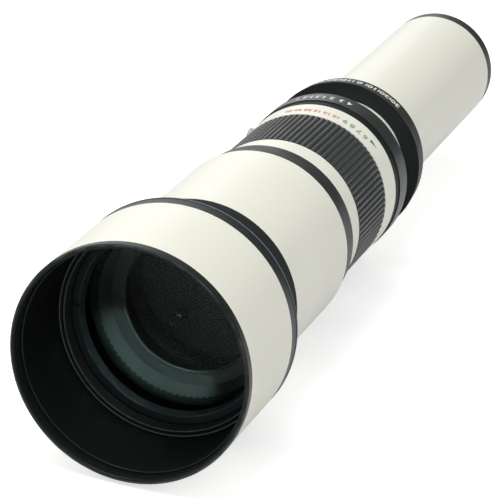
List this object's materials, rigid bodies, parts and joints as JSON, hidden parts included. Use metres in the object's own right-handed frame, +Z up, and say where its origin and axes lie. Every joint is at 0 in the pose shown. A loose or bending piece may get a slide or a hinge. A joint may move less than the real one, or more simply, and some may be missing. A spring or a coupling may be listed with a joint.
{
  "type": "telephoto zoom lens",
  "caption": "Long telephoto camera zoom lens with a sliding front barrel, ribbed focus ring, retractable hood, and a rotating tripod collar with foot and clamp knob.",
  "frame": {"origin": "centre of the camera mount's seat, on the optical axis", "axes": "+Y is the optical axis, from the front rim to the camera; the front faces -Y; +Z is up, with the tripod foot hanging below; the clamp knob stands out at -X"},
  "size_m": [0.107, 0.4605, 0.1085],
  "materials": {
    "ivory_paint": "satin ivory enamel",
    "black_satin": "satin black anodised",
    "black_matte": "matte black anodised",
    "lining_flock": "black flock",
    "retainer_black": "semi-gloss black anodised",
    "front_glass": "coated optical glass",
    "inner_glass": "coated optical glass",
    "grip_rubber": "ribbed matte",
    "slide_polymer": "plain",
    "brass": "machined",
    "screw_steel": "machined",
    "knob_metal": "fluted satin",
    "thread_metal": "satin chrome on brass"
  },
  "bodies": {
    "rear_body": {"rear_tube": "ivory_paint", "tube_guide_ring": "slide_polymer", "front_baffle": "black_matte", "rear_baffle": "black_matte", "rear_group_cell": "black_matte", "rear_element_front": "inner_glass", "rear_element_back": "inner_glass", "rear_retaining_rings": "black_matte", "rear_rim": "black_satin", "camera_thread": "thread_metal"},
    "zoom_carriage": {"front_cell": "black_matte", "front_retaining_ring": "retainer_black", "front_element": "front_glass", "element_spacer": "black_matte", "second_element": "front_glass", "front_barrel": "ivory_paint", "waist_ring": "black_satin", "core_barrel": "black_matte", "index_ring": "black_satin", "index_screws": "screw_steel", "rear_bush": "slide_polymer", "zoom_key": "brass"},
    "hood": {"hood_rim": "black_satin", "hood_tube": "ivory_paint", "hood_band": "black_satin", "hood_lining": "lining_flock"},
    "focus_ring": {"focus_sleeve": "ivory_paint", "focus_grip": "grip_rubber", "focus_cam_tube": "black_matte"},
    "focus_cell": {"focus_cell": "black_matte", "focus_element": "inner_glass", "focus_retaining_ring": "black_matte", "focus_followers": "brass"},
    "tripod_collar": {"collar_ring": "black_satin", "tripod_foot": "black_satin", "foot_screws": "screw_steel", "tripod_socket": "screw_steel"},
    "clamp_knob": {"clamp_knob": "knob_metal", "clamp_screw": "screw_steel"},
    "clamp_pad": {"clamp_pad": "slide_polymer"}
  },
  "joints": [
    {"name": "zoom_slide", "type": "slide", "parent": "rear_body", "child": "zoom_carriage", "axis": [0, -1, 0], "range_m": [-0.019, 0.09]},
    {"name": "hood_slide", "type": "slide", "parent": "zoom_carriage", "child": "hood", "axis": [0, 1, 0], "range_m": [0, 0.043]},
    {"name": "focus_turn", "type": "hinge", "parent": "zoom_carriage", "child": "focus_ring", "pos_m": [0, -0.24665, 0], "axis": [0, -1, 0], "range_deg": [0, 120]},
    {"name": "focus_slide", "type": "slide", "parent": "zoom_carriage", "child": "focus_cell", "axis": [0, -1, 0], "range_m": [0, 0.015]},
    {"name": "collar_turn", "type": "hinge", "parent": "rear_body", "child": "tripod_collar", "pos_m": [0, -0.16605, 0], "axis": [0, 1, 0], "continuous": true},
    {"name": "clamp_turn", "type": "hinge", "parent": "tripod_collar", "child": "clamp_knob", "pos_m": [0, -0.16605, 0], "axis": [-1, 0, 0], "range_deg": [-250, 0]},
    {"name": "clamp_pad_slide", "type": "slide", "parent": "tripod_collar", "child": "clamp_pad", "axis": [1, 0, 0], "range_m": [0, 0.00035]}
  ],
  "couplings": [
    {"joint": "focus_slide", "follows": "focus_turn", "m_per_rad": 0.007162},
    {"joint": "clamp_pad_slide", "follows": "clamp_turn", "m_per_rad": -0.000080214}
  ]
}
